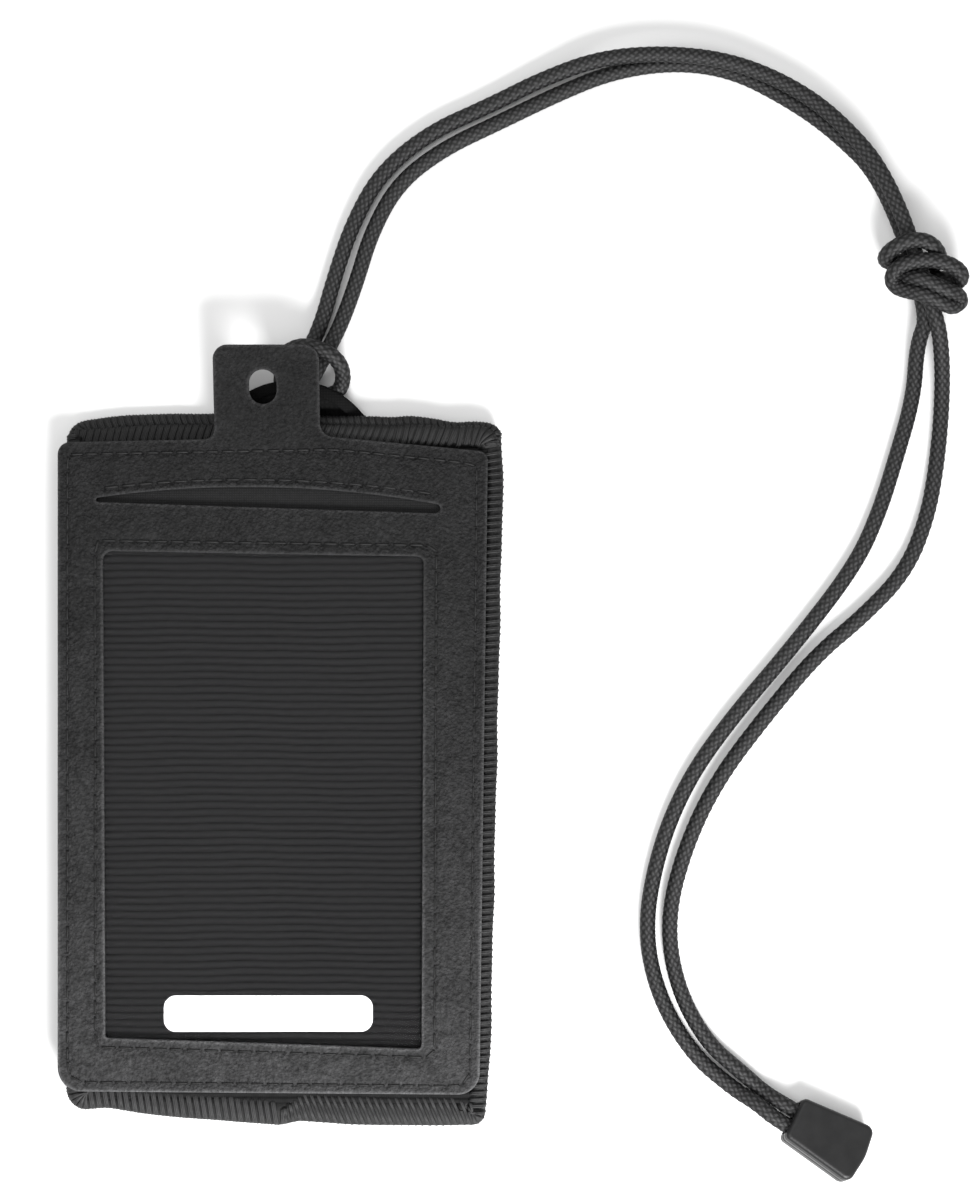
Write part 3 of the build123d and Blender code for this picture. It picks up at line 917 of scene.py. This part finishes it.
def mouth_sag(x):
    """The pouch mouth hangs lower on the left, under the window panel."""
    return 2.7 * smooth_step((4 - x) / 22)


def rib_relief(points):
    """Height of the ribs above their grooves; the ribs run across and waver a little."""
    x, y = points[:, 0], points[:, 1]
    phase = y / RIB_PITCH + 0.10 * np.sin(x / 11 + y / 37) + 0.05 * np.sin(x / 3.7 + y / 5)
    u = phase % 1
    uneven = 1 + 0.12 * np.sin(x / 0.9 + 3 * np.floor(phase))
    return RIB_HEIGHT * np.sqrt(np.clip(1 - (2 * u - 1) ** 2, 0, 1)) * uneven


def rib_base(points):
    """Middle of the front panel, drawn down to the seams at the sides and foot."""
    x, y = points[:, 0], points[:, 1]
    belly = 0.12 * np.sin(x / 15) * np.cos(y / 21)
    sag = mouth_sag(x) * smooth_step((y - 56) / 18)
    return RIB_TOP - 0.5 - 1.5 * fall_off(distance_to(points, closed_edge), 8) - 0.1 + belly - sag


def strip_columns(outline, y):
    """Left and right limit of an outline at a height."""
    ends = []
    for (x0, y0), (x1, y1) in zip(outline, np.roll(outline, -1, 0)):
        if (y0 > y) != (y1 > y):
            ends.append(x0 + (x1 - x0) * (y - y0) / (y1 - y0))
    return min(ends), max(ends)


def ribbed_panel():
    """Front of the pouch: one closed sheet with real ribs."""
    rows = np.arange(-91.4, MOUTH_SEAM - 1, 0.2)
    columns = 46
    flat = []
    for y in rows:
        left, right = strip_columns(panel_inset, min(y, 76))
        flat.append(np.column_stack([np.linspace(left, right, columns), np.full(columns, y)]))
    flat = np.array(flat).reshape(-1, 2)
    upper = np.column_stack([flat, rib_base(flat) + rib_relief(flat)])
    lower = np.column_stack([flat, rib_base(flat) - 0.35])
    count = len(flat)
    faces = []
    for i in range(len(rows) - 1):
        for j in range(columns - 1):
            a = i * columns + j
            quad = (a, a + 1, a + columns + 1, a + columns)
            faces.append(quad)
            faces.append(tuple(k + count for k in reversed(quad)))
    rim = list(range(columns))
    rim += [i * columns + columns - 1 for i in range(1, len(rows))]
    rim += [(len(rows) - 1) * columns + j for j in range(columns - 2, -1, -1)]
    rim += [i * columns for i in range(len(rows) - 2, 0, -1)]
    for a, b in zip(rim, rim[1:] + rim[:1]):
        faces.append((a, a + count, b + count, b))
    # rib height, which the fabric material also turns into painted shade in the grooves
    relief = np.concatenate([rib_relief(flat) / RIB_HEIGHT, np.full(count, 0.5)])
    vertices = np.vstack([upper, lower]) * MM
    return add_mesh("ribbed_panel", vertices, faces, RIBBED, attributes={"relief": relief})


ribbed = ribbed_panel()
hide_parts("ribbed_front_panel")


def back_top(points, reach):
    x, y = points[:, 0], points[:, 1]
    belly = 0.06 * np.sin(x / 17 + 1) * np.cos(y / 25)
    return 0.95 + 1.6 * fall_off(distance_to(points, closed_edge), 9) + belly


back_grid = sheet_grid(panel_inset, [], (2, 2), [1.0])
back = thick_sheet("back_sheet", back_grid, back_top, 0.8, POUCH)
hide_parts("pouch_back_panel")


def pane_top(points, reach):
    x, y = points[:, 0], points[:, 1]
    return 7.2 + 0.05 * np.sin(x / 9 + y / 14) * np.cos(y / 11)


pane_grid = sheet_grid(rounded_outline(pane_points, [2] * 4, 1.5), [], (3, 3), [])
pane = thick_sheet("vinyl_pane", pane_grid, pane_top, 0.2, VINYL)
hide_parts("window_pane")


def label_top(points, reach):
    """Upper face of the plain printed bar, which follows the ribs."""
    return rib_base(points) + rib_relief(points) * 0.8 + 0.22


label_points = [(-29, -73.5), (23, -73.5), (23, -64.5), (-29, -64.5)]
label_grid = sheet_grid(rounded_outline(label_points, [3] * 4, 0.4), [], (1.0, 0.22), [])
label = thick_sheet("plain_label", label_grid, label_top, 0.1, PRINT)
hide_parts("printed_label")


# ---- overlocked edges
LOOP_PITCH = 1.75               # mm along the edge between loops
STRAND_GAP = 0.37               # mm between the threads of one loop
LOOP_WIDTH, LOOP_HEIGHT = 0.30, 0.32    # half the width and height of a thread, mm
rng = np.random.default_rng(7)
inward_2d = inward_normals(pouch_loop)


def edge_run(choose):
    """The stretches of the pouch edge where choose(x, y) holds, each as (points, inward)."""
    keep = choose(pouch_loop[:, 0], pouch_loop[:, 1])
    order = np.roll(np.arange(len(pouch_loop)), -int(np.argmax(~keep)))
    breaks = np.flatnonzero(np.diff(keep[order].astype(int))) + 1
    runs = [run for run in np.split(order, breaks) if keep[run[0]] and len(run) > 8]
    return [(pouch_loop[run], inward_2d[run]) for run in runs]


def overlock(points, inward, low, high, reach, slant, step=0.0, strands=3, sag=nowhere):
    """Overlock stitches round an edge: loops of textured thread over a core painted dark as the shade between
    the loops, between two heights.
    slant is how far a loop leans along the edge, step the dip between two lines of loops."""
    lengths = running_length(points)
    count = int(round(lengths[-1] / LOOP_PITCH))
    centre = (np.arange(count) + 0.5) * lengths[-1] / count + rng.normal(0, 0.07, count)
    middle, half = (low + high) / 2, (high - low) / 2
    profile = [
        (1.0, 0.80), (0.86, 1.0), (0.66, 1.02 - step * 0.4), (0.5, 1.0 - step), (0.36, 1.02 - step * 0.3),
        (0.17, 0.94), (0.05, 0.62), (-0.03, 0.1), (0.0, -0.45), (0.14, -0.86), (0.42, -1.0), (0.8, -1.0),
    ]
    paths = []
    reach_noise = rng.normal(0, 0.10, count)
    rise_noise = rng.normal(0, 0.06, count)
    fade = np.clip(np.minimum(centre, lengths[-1] - centre) / (2.4 * slant), 0.12, 1)
    along = unit(sample(centre, lengths, np.gradient(points, axis=0)))
    for strand in range(strands):
        shift = (strand - (strands - 1) / 2) * STRAND_GAP
        path = []
        for inset, level in profile:
            lean = slant * (inset - 0.1) if level > 0 else slant * 0.4 * (inset - 0.1)
            s = np.clip(centre + lean * fade + shift, 0, lengths[-1])
            into = unit(sample(s, lengths, inward))
            uneven = reach_noise * inset + 0.10 * math.cos((strand - 1) * 2)
            depth = inset * reach * (0.5 + 0.5 * fade) + uneven
            crown = 0.12 * math.cos((strand - 1) * 1.4)
            z = middle + level * half + (rise_noise + crown) * np.sign(level)
            path.append(np.column_stack([sample(s, lengths, points) + into * depth[:, None], z]))
        paths.append(np.array(path).transpose(1, 0, 2))
    paths = np.concatenate(paths)
    sides = np.tile(np.column_stack([along, np.zeros(count)]), (strands, 1))
    paths[..., 2] -= sag(paths[..., 0])
    taper = np.array([0.5, 0.9, 1, 1, 1, 1.05, 1.05, 1, 1, 1, 1, 0.6])[None, :]
    loops = many_tubes(paths, sides, LOOP_WIDTH * taper, LOOP_HEIGHT * taper)
    flat = np.column_stack([points, middle - sag(points[:, 0])])
    rim = [
        (reach, half * 0.8), (reach * 0.5, half * (0.86 - step)), (0.5, half * 0.8), (-0.26, half * 0.45),
        (-0.26, -half * 0.45), (0.5, -half * 0.8), (reach, -half * 0.8),
    ]
    core = sweep_profile(flat[::3], inward[::3], rim)
    # painted shade: the core gets a low relief value, so the thread material paints it dark
    values = np.concatenate([np.ones(len(loops[0])), np.full(len(core[0]), 0.15)])
    return merged(loops, core), values


def overlock_piece(name, node, *shapes):
    vertices, faces = merged(*[shape for shape, _ in shapes])
    values = np.concatenate([value for _, value in shapes])
    piece = add_mesh(name, vertices * MM, faces, SERGE, attributes={"relief": values})
    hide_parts(node)
    return piece


def waved(run, amount, offsets=((0, 0),)):
    """A run of edge with the unevenness of sewn fabric; offsets are (x, outward) pairs in mm."""
    points, inward = run
    s = np.arange(len(points)) * 0.25
    wander = amount * (np.sin(s / 5.1 + 1) + 0.6 * np.sin(s / 2.7))
    amounts = np.interp(points[:, 0], *np.array(offsets).T)
    span = 19                       # points over which the offsets are evened out
    amounts = np.convolve(np.pad(amounts, span // 2, mode="edge"), np.ones(span) / span, mode="valid")
    wander -= amounts * np.abs(inward[:, 1])
    return points + inward * wander[:, None], inward


def cut_run(run, choose):
    """Part of a run."""
    points, inward = run
    keep = choose(points[:, 0])
    return points[keep], inward[keep]


foot_offsets = [
    (-50, -0.6), (-47, -1.0), (-43.75, -1.5), (-35, -0.3), (-20, 0.7), (0, 1.5), (1.6, 1.4), (3.4, 0.1),
    (17, 0.9), (37, 0.35), (46, 0),
]
mouth_offsets = [
    (-53, -1.6), (-49, -1.8), (-44.5, -1.2), (-38, -0.4), (-27, 0.1), (-16, 0.4), (20, -0.1), (28, -0.4),
    (32, 0.3), (37.75, -0.3), (43.5, -1.4), (48, -0.8), (52, -1.3),
]
left_runs = edge_run(lambda x, y: (x < -20) & (y > -86) & (y < MOUTH_SEAM + 0.4))
right_runs = edge_run(lambda x, y: (x > 20) & (y > -93.4) & (y < MOUTH_SEAM + 0.4))
foot_runs = edge_run(lambda x, y: (y <= -85.6) & (x < 0) | (y <= -93) & (x >= 0))
mouth_runs = edge_run(lambda x, y: y > MOUTH_SEAM)
serge_left = overlock_piece(
    "overlock_left", "serge_left",
    *[overlock(*waved(run, 0.08), low=2.6, high=6.0, reach=3.2, slant=0.6) for run in left_runs],
)
serge_right = overlock_piece(
    "overlock_right", "serge_right",
    *[overlock(*waved(run, 0.10), low=2.2, high=6.1, reach=4.2, slant=0.5, strands=2) for run in right_runs],
)
foot_shapes = []
for run in foot_runs:
    edge = waved(run, 0.06, foot_offsets)
    right_part, left_part = cut_run(edge, lambda x: x > 0.5), cut_run(edge, lambda x: x <= 1.6)
    foot_shapes.append(overlock(*right_part, low=1.2, high=6.2, reach=7.4, slant=3.4, step=0.2, strands=2))
    foot_shapes.append(overlock(*left_part, low=1.4, high=6.1, reach=6.4, slant=1.2))
serge_bottom = overlock_piece("overlock_bottom", "serge_bottom", *foot_shapes)
serge_mouth_back = overlock_piece(
    "overlock_mouth_back", "serge_mouth_back",
    *[
        overlock(*waved(run, 0.10, mouth_offsets), low=3.0, high=5.6, reach=3.6, slant=1.4, sag=mouth_sag)
        for run in mouth_runs
    ],
)


def front_mouth_run():
    """Edge of the front panel at the mouth, just inside the back one."""
    left, right = strip_columns(pouch_loop, 75.5)
    x = np.arange(right - 0.6, left + 1.2, -0.25)
    corner = 4.5
    turned = np.clip(x - (right - 0.6 - corner), 0, corner) / corner
    drop = corner * (1 - np.sqrt(np.clip(1 - turned**2, 0, 1)))
    y = MOUTH_FRONT - 0.2 + 0.15 * np.sin(x / 6) + 0.5 * np.interp(x, *np.array(mouth_offsets).T) - drop
    points = np.column_stack([x, y])
    normal = normals_of(points, closed=False)
    normal[normal[:, 1] > 0] *= -1
    return points, normal


serge_mouth_front = overlock_piece(
    "overlock_mouth_front", "serge_mouth_front",
    overlock(*front_mouth_run(), low=5.4, high=6.9, reach=5.0, slant=1.6, sag=mouth_sag),
)


# ---- hanging tab of webbing behind the leather one, in mm
DOME_CENTRE, DOME_RADIUS = (2.9, 66.4), 22.2
DOME_LEFT, DOME_RIGHT, DOME_ROOT = -14.9, 20.7, 72.0
TAPE_FOOT = 80.3                # where the binding tape's two ends stop
TACK_ROWS = (73.6, 76.2)
ARCH_POINTS = 110


def dome_base(y):
    """Underside of the webbing: flat at its root, then raised over the cord."""
    return np.interp(y, [72, 79.2, 80.6, 83.2, 84.6, 90], [0.9, 0.9, 1.15, 3.75, 4.3, 4.3])


def dome_outline(radius):
    """Arch between the two sides, closed along its root."""
    cx, cy = DOME_CENTRE
    left, right, root = DOME_LEFT, DOME_RIGHT, DOME_ROOT
    start = math.atan2(math.sqrt(radius**2 - (right - cx) ** 2), right - cx)
    end = math.atan2(math.sqrt(radius**2 - (left - cx) ** 2), left - cx)
    angle = np.linspace(start, end, ARCH_POINTS)
    arch = np.column_stack([cx + radius * np.cos(angle), cy + radius * np.sin(angle)])
    foot = np.linspace((left, root), (right, root), 70)
    down, up = np.linspace(arch[-1], foot[0], 12)[1:-1], np.linspace(foot[-1], arch[0], 12)[1:-1]
    return np.vstack([arch, down, foot, up])


def level_oval(centre, length, width):
    """A level oblong with round ends."""
    radius, half = width / 2, length / 2 - width / 2
    turn = np.linspace(0, math.pi, 20)
    right = np.column_stack([half + radius * np.sin(turn), -radius * np.cos(turn)])
    return np.vstack([right, -right]) + centre


def dome_top_height(points, reach):
    return dome_base(points[:, 1]) + 0.6 - rounded_edge(reach, 0.2)


def dome_bottom_height(points, reach):
    return dome_base(points[:, 1]) + rounded_edge(reach, 0.15)


dome_grid = sheet_grid(dome_outline(DOME_RADIUS - 0.3), [level_oval((3, 82.9), 10.4, 4.8)], (0.8, 0.8), [0.3])
dome = thick_sheet("webbing_tab", dome_grid, dome_top_height, dome_bottom_height, WEBBING_PAINTED_SHADE)
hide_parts("hang_tab")

arch = dome_outline(DOME_RADIUS)[:ARCH_POINTS]
right_leg = np.linspace((DOME_RIGHT, TAPE_FOOT), arch[0], 6)[:-1]
left_leg = np.linspace(arch[-1], (DOME_LEFT, TAPE_FOOT), 6)[1:]
arch = np.vstack([right_leg, arch, left_leg])
arch_inward = normals_of(arch, closed=False)
arch_inward *= np.where(np.sum(arch_inward * (np.array(DOME_CENTRE) - arch), axis=1) < 0, -1, 1)[:, None]
arch_points = np.column_stack([arch, dome_base(arch[:, 1]) + 0.3])
tape = [
    (2.7, 0.32), (2.5, 0.56), (1.4, 0.64), (0.3, 0.6), (-0.22, 0.38), (-0.34, 0), (-0.22, -0.38),
    (0.3, -0.56), (2.2, -0.5), (2.6, -0.3),
]
tape_points, tape_faces = sweep_profile(arch_points, arch_inward, tape)
binding = add_mesh("tape_binding", tape_points * MM, tape_faces, BINDING_PAINTED_SHADE)
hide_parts("hang_tab_binding")


def bar_tacks():
    """Two dense zigzag rows that hold the webbing to the back of the pouch."""
    paths = []
    t = np.linspace(-1, 1, 5)
    for y in TACK_ROWS:
        for i, x in enumerate(np.arange(-11.6, 17.4, 0.42)):
            sway = 0.2 if i % 2 else -0.2
            paths.append(np.column_stack([x + sway * t, y + 0.42 * t, 1.62 + 0.16 * (1 - t**2)]))
    return many_tubes(np.array(paths), np.array([[1.0, 0, 0]] * len(paths)), 0.17, 0.15, 6)


tack_points, tack_faces = bar_tacks()
tacks = add_mesh("bar_tacks", tack_points * MM, tack_faces, STITCH)
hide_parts("hang_tab_stitches")

# ---- cord end
for node_name, material in (
    ("cord_end_base", PLASTIC), ("cord_end_cover", PLASTIC), ("cord_tip_a", FUSED), ("cord_tip_b", FUSED),
):
    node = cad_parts[node_name]
    node.data.materials.clear()
    node.data.materials.append(material)
    node.data.polygons.foreach_set("use_smooth", [True] * len(node.data.polygons))
    if material is PLASTIC:
        node.data.set_sharp_from_angle(angle=math.radians(40))
        soften = node.modifiers.new("soft_edges", "BEVEL")
        soften.width = 0.00035
        soften.segments = 2
        soften.limit_method = "ANGLE"
        soften.angle_limit = math.radians(50)
